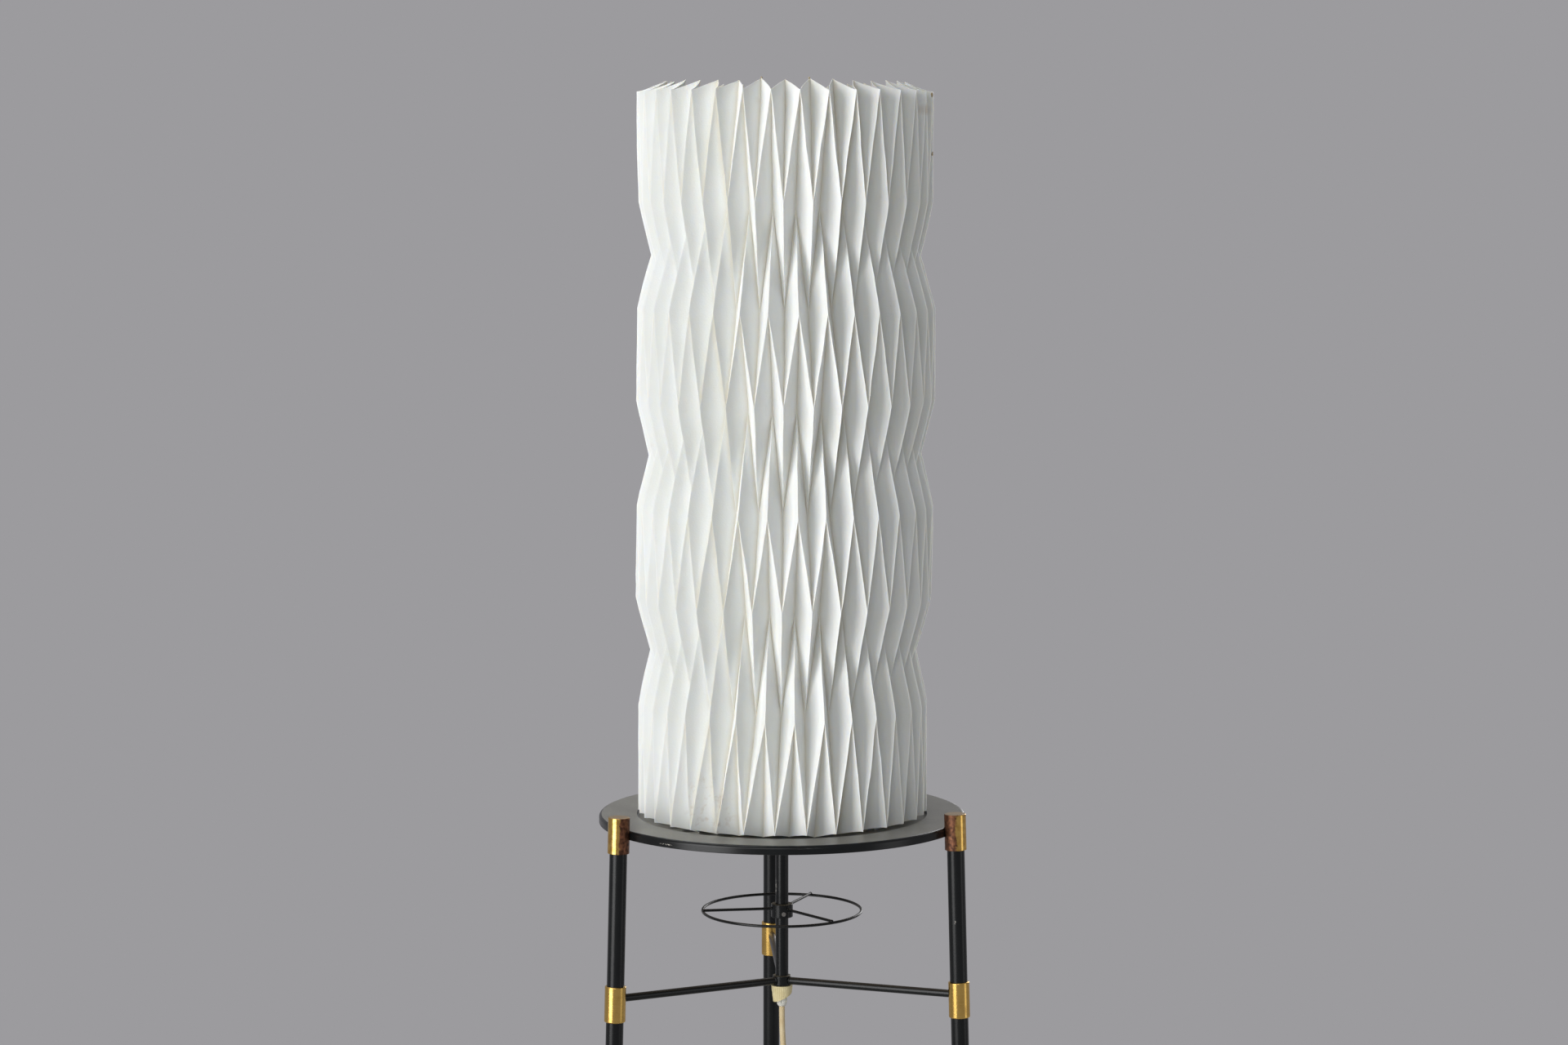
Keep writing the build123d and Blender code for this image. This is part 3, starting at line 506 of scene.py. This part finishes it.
# points of the drop in mm from the lamp's axis and the floor, from the grip to the switch
drop_route_mm = [
    (0.0, 0.0, 666.3),
    (0.0, 0.0, 642.3),
    (2.6, -0.8, 612.0),
    (4.6, -1.2, 552.0),
    (4.2, 0.4, 482.0),
    (1.4, 2.2, 410.0),
    (-2.2, 2.6, 338.0),
    (-4.6, 1.4, 268.0),
    (-5.4, -0.8, 200.0),
    (-8.4, -3.4, 144.0),
    (-13.6, -5.4, 96.0),
    (-16.8, -7.0, 57.0),
    (-14.4, -8.2, 38.6),
    (-5.6, -9.0, 23.6),
    (8.2, -9.7, 12.6),
    (24.0, -10.0, 7.5),
    (39.0, -10.0, 7.5),
]
switch_end_mm = (99.0, -10.0, 7.5)
plug_end_x = 78.0 * MM
plug_axis_z = 7.0 * MM


def coil_route():
    """Half turns that spiral in, climb one layer and spiral out again, round the coil's centre."""
    step = coil_pitch / 2
    lower = [coil_out_r - step * k for k in range(coil_turns_lower)]
    radii = lower + [lower[-1] - step] + lower[::-1]
    # control points stand a little further out than the line they pull
    outset = 2 / (1 + math.cos(math.pi / coil_points_per_half / 2))
    points = []
    x, z = coil_out_r, coil_low_z
    for k, radius in enumerate(radii):
        side = 1 if k % 2 == 0 else -1
        middle_x = x - side * radius
        next_z = coil_high_z if k >= coil_turns_lower else coil_low_z
        for i in range(coil_points_per_half):
            share = (i + 0.5) / coil_points_per_half
            points.append(Vector((
                middle_x + side * radius * outset * math.cos(math.pi * share),
                side * radius * outset * math.sin(math.pi * share),
                z + (next_z - z) * share,
            )))
        x, z = middle_x - side * radius, next_z
    turned = Matrix.Rotation(math.radians(-90), 4, "Z")
    return [turned @ point + coil_centre for point in points], -x


def cord_route():
    """The whole cord, in metres round the lamp's axis: drop, switch, coil and plug."""
    drop = [Vector(point) * MM for point in drop_route_mm]
    coil, leave_y = coil_route()
    enter = coil_centre + Vector((-2 * cord_r, -coil_out_r, coil_low_z))
    leave = coil_centre + Vector((-2 * cord_r, leave_y, coil_high_z))
    switch_end = Vector(switch_end_mm) * MM
    lead = Vector((lead_mm, 0, 0)) * MM
    link = [switch_end, switch_end + lead, enter - lead, enter]
    tail_y = leave.y + 0.5 * MM
    step = Vector((tail_step_mm, 0, 0)) * MM
    plug_end = Vector((plug_end_x, tail_y, plug_axis_z))
    tail = [
        leave,
        leave - step,
        leave + Vector((-22.0, 0.5, -2.0)) * MM,
        plug_end + step,
        plug_end,
    ]
    return [axis + point for point in drop + link + coil + tail]


def mains_cord():
    """The cord as one smooth round curve along its route."""
    data = bpy.data.curves.new("mains_cord", "CURVE")
    data.dimensions = "3D"
    data.bevel_depth = cord_r
    data.bevel_resolution = 4
    data.resolution_u = 6
    data.use_fill_caps = True
    points = cord_route()
    spline = data.splines.new("NURBS")
    spline.points.add(len(points) - 1)
    for control, point in zip(spline.points, points):
        control.co = (*point, 1)
    spline.order_u = 3
    spline.use_endpoint_u = True
    piece = bpy.data.objects.new("mains_cord", data)
    bpy.context.scene.collection.objects.link(piece)
    return piece


# ------------------------------------------------------------ shade
pleats = 34
columns = 2 * pleats
pleat_depth = 24.5
paper_t = 0.5 * MM
first_ridge_heading = -88.0
row_step = 0.1              # height of a row while the sheet is still plain
panel_cuts = 7
ridge_slip = (0.4, 0.5)     # how far hand folding moves a ridge point outwards and upwards, in mm
valley_slip = (1.0, 1.3)
turn_slip = 0.28            # and any point round the axis, in degrees
bow_cm = 0.9                # a panel bows over this way from its folds
bow_out = 1.3 * MM          # by this much for each centimetre
# unevenness of the sheet: waves per metre, where the pattern is taken from, how far the paper moves
paper_waves = (
    (9, (0, 0, 0), 0.8 * MM),
    (34, (5, 0, 0), 0.5 * MM),
    (90, (0, 7, 0), 0.2 * MM),
)
smooth_angle = 38           # sharper folds than this many degrees keep their edge
# each crease row, bottom to top: ridge height, ridge radius and valley height in mm above the disc,
# turn of the row in degrees, lean to the right in mm, and how far the front pleats are pulled open
crease_rows = [
    (2.4, 132.0, -4.2, -1.9, 0.2, 0.15),
    (103.5, 132.0, 105.4, -0.5, 0.6, 0.11),
    (202.4, 134.8, 199.5, -0.6, 1.8, 0.08),
    (286.0, 135.9, 287.0, -0.7, 2.7, 0.055),
    (385.0, 136.1, 380.2, -0.5, 3.3, 0.05),
    (467.8, 135.5, 468.4, -0.6, 3.6, 0.04),
    (566.0, 133.4, 561.0, -0.5, 3.6, 0.03),
    (665.0, 134.4, 674.0, 0.1, 3.2, 0.03),
]
seam_column = 14
seam_gap = 0.9 * MM         # the seam strip lies this far outside the sheet
top_row = len(crease_rows) - 1
hand = random.Random(34)    # small differences between one pleat and the next
point_slips = [[(hand.uniform(-1, 1), hand.uniform(-1, 1), hand.uniform(-1, 1)) for _ in range(columns)]
               for _ in crease_rows]


def is_ridge(row, column):
    """Ridges and valleys alternate along a row and from row to row."""
    return (row + column) % 2 == 1


def crease_point(row, column):
    """Where a crease point of the folded sheet lies."""
    ridge_z, ridge_r, valley_z, turn, lean, open_front = crease_rows[row]
    slip_r, slip_turn, slip_z = point_slips[row][column]
    on_ridge = is_ridge(row, column)
    slip_out, slip_up = ridge_slip if on_ridge else valley_slip
    radius = (ridge_r if on_ridge else ridge_r - pleat_depth) + slip_r * slip_out
    from_front = math.radians(first_ridge_heading + column * 180 / pleats + turn + 90)
    pulled = open_front * math.sin(from_front) * 0.5 * (1 + math.cos(from_front))
    heading = math.degrees(from_front + pulled) - 90 + slip_turn * turn_slip
    height = (ridge_z if on_ridge else valley_z) + slip_z * slip_up
    return polar(radius * MM, heading, disc_top + height * MM) + Vector((lean * MM, 0, 0))


def plain_sleeve(name):
    """Paper before folding: a ring of points pulled up once for each crease row."""
    bpy.ops.mesh.primitive_circle_add(vertices=columns, radius=0.1, location=(0, 0, 0))
    sleeve = bpy.context.object
    sleeve.name = name
    edit_mode()
    bpy.ops.mesh.select_all(action="SELECT")
    for _ in crease_rows[1:]:
        bpy.ops.mesh.extrude_region_move(TRANSFORM_OT_translate={"value": (0, 0, row_step)})
    object_mode()
    return sleeve


def fold(sleeve):
    """Moves each point to its place in the fold. Returns the row and column of every point."""
    place_of = []
    for vertex in sleeve.data.vertices:
        row = round(vertex.co.z / row_step)
        column = round(math.atan2(vertex.co.y, vertex.co.x) / math.tau * columns) % columns
        place_of.append((row, column))
        vertex.co = crease_point(row, column)
    return place_of


def crease(sleeve, place_of):
    """Splits each panel along its fold: bands from ridge to ridge, notches from valley to valley."""
    for row in range(len(crease_rows) - 1):
        in_band = row % 2 == 0
        ends = {
            index for index, (at_row, column) in enumerate(place_of)
            if at_row in (row, row + 1) and is_ridge(at_row, column) == in_band
        }
        pick_vertices(sleeve, lambda vertex: vertex.index in ends)
        bpy.ops.object.mode_set(mode="EDIT")
        bpy.ops.mesh.vert_connect()
        object_mode()


def measure_creases(sleeve, place_of):
    """UV map in centimetres: across is the way from the panel's ridge fold, up from its valley fold."""
    layer = sleeve.data.uv_layers.new(name="creases")
    for polygon in sleeve.data.polygons:
        points = [sleeve.data.vertices[index].co for index in polygon.vertices]
        places = [place_of[index] for index in polygon.vertices]
        in_band = min(row for row, _ in places) % 2 == 0
        for corner, loop in enumerate(polygon.loop_indices):
            other = (corner + 1) % 3, (corner + 2) % 3
            (row_a, column_a), (row_b, column_b) = places[other[0]], places[other[1]]
            if row_a == row_b:
                continue
            base = points[other[1]] - points[other[0]]
            reach = (points[corner] - points[other[0]]).cross(base).length / base.length * 100
            upright = column_a == column_b
            along_ridge = upright != in_band
            u, v = layer.data[loop].uv
            layer.data[loop].uv = (reach, v) if along_ridge else (u, reach)


def soften_panels(sleeve):
    """Bows each panel a little between its folds and gives the whole sheet its slight waviness."""
    mesh = sleeve.data
    layer = mesh.uv_layers["creases"]
    bows = [Vector() for _ in mesh.vertices]
    counts = [0] * len(mesh.vertices)
    for polygon in mesh.polygons:
        for index, loop in zip(polygon.vertices, polygon.loop_indices):
            u, v = layer.data[loop].uv
            bows[index] += polygon.normal * min(u, v, bow_cm)
            counts[index] += 1
    for vertex, bow, count in zip(mesh.vertices, bows, counts):
        place = vertex.co.copy()
        vertex.co += bow / count * bow_out
        for waves, start, move in paper_waves:
            vertex.co += noise.noise_vector(place * waves + Vector(start)) * move


def thicken(sleeve, thickness, offset):
    """Gives a sheet its thickness: offset -1 inwards, 1 outwards."""
    solidify = sleeve.modifiers.new("thickness", "SOLIDIFY")
    solidify.thickness = thickness
    solidify.offset = offset
    solidify.use_even_offset = True
    select_alone(sleeve)
    bpy.ops.object.modifier_apply(modifier="thickness")


def copy_of_columns(sleeve, place_of):
    """The strip of panels that carries the seam, as a sheet of its own."""
    select_alone(sleeve)
    bpy.ops.object.duplicate()
    seam = bpy.context.object
    seam.name = "seam_lap"
    seam_columns = (seam_column, seam_column + 1)
    kept = {index for index, (_, column) in enumerate(place_of) if column in seam_columns}
    pick_vertices(seam, lambda vertex: vertex.index not in kept)
    bpy.ops.object.mode_set(mode="EDIT")
    bpy.ops.mesh.delete(type="VERT")
    object_mode()
    return seam


def lift_off(sheet, gap):
    """Moves a sheet outwards along its own normals."""
    select_alone(sheet)
    bpy.ops.object.mode_set(mode="EDIT")
    bpy.ops.mesh.select_all(action="SELECT")
    bpy.ops.transform.shrink_fatten(value=-gap)
    object_mode()


def paper_shade(paper):
    """The folded shade and the strip that laps over its seam."""
    sleeve = plain_sleeve("paper_shade")
    place_of = fold(sleeve)
    crease(sleeve, place_of)
    measure_creases(sleeve, place_of)
    seam = copy_of_columns(sleeve, place_of)
    for sheet in (sleeve, seam):
        select_alone(sheet)
        bpy.ops.object.mode_set(mode="EDIT")
        bpy.ops.mesh.select_all(action="SELECT")
        bpy.ops.mesh.subdivide(number_cuts=panel_cuts)
        object_mode()
        soften_panels(sheet)
    lift_off(seam, seam_gap)
    thicken(sleeve, paper_t, -1)
    thicken(seam, paper_t, 1)
    for sheet in (sleeve, seam):
        select_alone(sheet)
        bpy.ops.object.shade_smooth_by_angle(angle=math.radians(smooth_angle))
    dress(sleeve, paper, "shade", "shade_paper", "shade_paper")
    dress(seam, paper, "shade", "shade_paper", "shade_seam_lap")


# ------------------------------------------------------------ small pieces that the solids leave plain
leg_headings = (90, 210, 330)
spoke_headings = (65, 185, 305)
hub_r = (hub_high.x - hub_low.x) / 2
collar_r = (collar_high.y - collar_low.y) / 2
strut_r = 3.5 * MM
hub_bead_r = 0.8 * MM
ring_wire_r = 1.3 * MM
collar_bead_r = 0.6 * MM
bead_sink = 0.1 * MM        # how far a bead sinks into the rod or stands off it
spot_width = 1.8 * MM
spot_height = 1.35 * MM
spot_inset = 0.4 * MM       # from the middle of the ring's wire towards the axis
ring_r = (ring_high.x - ring_low.x) / 2 - ring_wire_r
spoke_z = ring_low.z + ring_wire_r + 1.56 * MM      # the spokes lie on the ring


def bead_round(centre, heading, radius, bead_r):
    """A weld bead round a rod that leaves centre at a heading."""
    turned = Matrix.Rotation(math.radians(heading), 4, "Z") @ Matrix.Rotation(math.radians(90), 4, "Y")
    bpy.ops.mesh.primitive_torus_add(
        major_segments=24, minor_segments=8, major_radius=radius, minor_radius=bead_r,
        location=centre, rotation=turned.to_euler(),
    )
    return bpy.context.object


def weld_spot(centre, width, height):
    """A small round lump, as wide and as high as given on each side of its middle."""
    bpy.ops.mesh.primitive_uv_sphere_add(segments=14, ring_count=8, radius=width, location=centre)
    spot = bpy.context.object
    spot.scale.z = height / width
    return spot


def run_unevenly(piece, size_mm, amount):
    """Makes a bead look laid by hand, with swells and waists of a given size."""
    for vertex in piece.data.vertices:
        vertex.co += noise.noise_vector(vertex.co / (size_mm * MM)) * amount


def join_as(name, pieces):
    """Joins pieces into one object at the origin."""
    bpy.ops.object.select_all(action="DESELECT")
    for piece in pieces:
        piece.select_set(True)
    bpy.context.view_layer.objects.active = pieces[0]
    bpy.ops.object.join()
    joined = bpy.context.object
    joined.name = name
    rest_in_mesh(joined)
    return joined


def welds(lacquer):
    """Weld beads where the struts meet the hub and the spokes meet the ring and its collar."""
    beads = [
        bead_round(polar(hub_r, heading, hub_middle.z), heading, strut_r - bead_sink, hub_bead_r)
        for heading in leg_headings
    ]
    hub_weld = join_as("hub_welds", beads)
    spots = [
        weld_spot(polar(ring_r - spot_inset, heading, spoke_z), spot_width, spot_height)
        for heading in spoke_headings
    ]
    spots += [
        bead_round(
            polar(collar_r, heading, spoke_z), heading, ring_wire_r + bead_sink, collar_bead_r,
        )
        for heading in spoke_headings
    ]
    ring_weld = join_as("ring_welds", spots)
    for weld, body in ((hub_weld, "stand"), (ring_weld, "ring")):
        run_unevenly(weld, 2.2, 0.35 * MM)
        select_alone(weld)
        bpy.ops.object.shade_smooth()
        dress(weld, lacquer, body, "black_lacquer")


def cord_sleeve(vinyl):
    """The milky grip under the bushing: a blunt round end with pressed slots round it."""
    sides_round = 24
    slot_every = 4
    slot_edge = 0.25 * MM
    slot_depth = 0.9 * MM
    slot_low, slot_high = grip_low.z + 3.0 * MM, grip_low.z + 11.5 * MM
    top_r = 4.98 * MM
    # height above its end and radius, in mm
    profile = [(11.0, 4.95), (3.2, 4.8), (1.5, 4.4), (0.5, 3.8), (0.0, 3.1)]
    bpy.ops.mesh.primitive_circle_add(
        vertices=sides_round, radius=top_r, location=(axis.x, axis.y, grip_high.z),
    )
    grip = bpy.context.object
    grip.name = "slotted_grip"
    rest_in_mesh(grip)
    edit_mode()
    bpy.ops.mesh.select_all(action="SELECT")
    bpy.ops.mesh.edge_face_add()
    height, radius = grip_high.z, top_r
    for above_mm, radius_mm in profile:
        next_height, next_radius = grip_low.z + above_mm * MM, radius_mm * MM
        drop = next_height - height
        bpy.ops.mesh.extrude_region_move(TRANSFORM_OT_translate={"value": (0, 0, drop)})
        bpy.ops.transform.resize(
            value=(next_radius / radius, next_radius / radius, 1),
            center_override=(axis.x, axis.y, 0),
        )
        height, radius = next_height, next_radius
    object_mode()
    for polygon in grip.data.polygons:
        middle = polygon.center - axis
        around = int((math.degrees(math.atan2(middle.y, middle.x)) % 360) / 360 * sides_round)
        polygon.select = slot_low < polygon.center.z < slot_high and around % slot_every == 1
    bpy.ops.object.mode_set(mode="EDIT")
    bpy.ops.mesh.select_mode(type="FACE")
    bpy.ops.mesh.inset(thickness=slot_edge, depth=-slot_depth)
    bpy.ops.mesh.select_all(action="SELECT")
    bpy.ops.mesh.normals_make_consistent(inside=False)
    object_mode()
    select_alone(grip)
    bpy.ops.object.shade_smooth_by_angle(angle=math.radians(40))
    dress(grip, vinyl, "stand", "clear_plastic", "cord_grip")


def seam_glue(glue):
    """Dried glue on the seam's ridge and the thread knots along the top edge."""
    knot_columns = (1, 65)
    seam_top = crease_point(top_row, seam_column)
    seam_below = crease_point(top_row - 1, seam_column + 1)
    spots = [
        weld_spot(seam_top - Vector((0.4, 0, 3.0)) * MM, 1.3 * MM, 3.0 * MM),
        weld_spot(seam_top.lerp(seam_below, 0.56), 1.2 * MM, 2.0 * MM),
    ]
    spots += [
        weld_spot(crease_point(top_row, column) + Vector((0, 0, 0.4)) * MM, 0.9 * MM, 1.2 * MM)
        for column in knot_columns
    ]
    glued = join_as("seam_glue", spots)
    run_unevenly(glued, 1.5, 0.5 * MM)
    select_alone(glued)
    bpy.ops.object.shade_smooth()
    dress(glued, glue, "shade", "shade_paper")


# ------------------------------------------------------------ backdrop and world
floor_tone = "#bdbbba"
backdrop_tone = "#9c9b9e"
world_tone = "#e8e8ea"
world_strength = 0.30
floor_size = 60
floor_fade = (0.5, 2.6)     # metres from the lamp over which the floor fades into the backdrop


def studio():
    """Floor, world light and a plain backdrop that only the eye sees."""
    bpy.ops.mesh.primitive_plane_add(size=floor_size, location=(0, 0, 0))
    floor = bpy.context.object
    floor.name = "floor"
    floor.data.materials.append(pale_floor())
    world = bpy.data.worlds.new("studio")
    bpy.context.scene.world = world
    world.use_nodes = True
    tree = world.node_tree
    light = tree.nodes["Background"]
    connect(tree, light, {"Color": colour(world_tone), "Strength": world_strength})
    backdrop = add(tree, "ShaderNodeBackground", {"Color": colour(backdrop_tone), "Strength": 1.0})
    mixed = add(tree, "ShaderNodeMixShader", {
        0: seen_by_eye(tree), 1: light.outputs[0], 2: backdrop.outputs[0],
    })
    tree.links.new(mixed.outputs[0], tree.nodes["World Output"].inputs["Surface"])
    bpy.context.scene.view_settings.view_transform = "Standard"


# ------------------------------------------------------------ make the lamp
place_camera()
for lamp_settings in soft_lamps:
    soft_lamp(*lamp_settings)

finishes = small_finishes()
finishes["brass"] = turned_brass()
cap_brass = patinated_brass()
paper = folded_paper()
stem_chip = Vector((axis.x - 6.0 * MM, axis.y - 1.5 * MM, disc_top - 70 * MM))
leg_chip = polar(disc_r + 8 * MM, 330, disc_top - 86 * MM) + Vector((-2, -7, 0)) * MM
rim_scratch = polar(disc_r, 229, disc_top - 5 * MM)
tube_lacquer = black_lacquer("stoved_black_enamel", "#6b655c", 0.4, 0.9, (
    (stem_chip, (1.5 * MM, 2.5 * MM, 9 * MM)),
    (leg_chip, (1.2 * MM, 4 * MM, 2 * MM)),
))
disc_lacquer = black_lacquer("dusty_black_enamel", "#98968f", 0.84, 0.96, (
    (rim_scratch, (8 * MM, 8 * MM, 0.7 * MM)),
), dusty_rough=0.38)
wire_lacquer = black_lacquer("brushed_black_enamel", "#5e554a", 0.5, 0.5)
hub_lacquer = black_lacquer("thick_black_enamel", "#8b7f68", 0.85, 0.8)
finishes["black_lacquer"] = tube_lacquer

for part in frame["record"]["subparts"]:
    node = part["node"]
    material = finishes.get(part["material_slot"], paper)
    if node.startswith("leg_cap"):
        material = cap_brass
    elif node == "shade_disc":
        material = disc_lacquer
    elif node in ("brace_hub", "ring_collar"):
        material = hub_lacquer
    elif node == "wire_ring" or node.startswith("brace_strut"):
        material = wire_lacquer
    slots = frame["nodes"][node].data.materials
    slots.clear()
    slots.append(material)

cord = mains_cord()
dress(
    cord, finishes["cord_cream"], "stand", "cord_cream",
    "cord_drop", "cord_link", "cord_coil", "cord_tail",
)
paper_shade(paper)
seam_glue(finishes["glue"])
welds(wire_lacquer)
cord_sleeve(finishes["clear_plastic"])
studio()
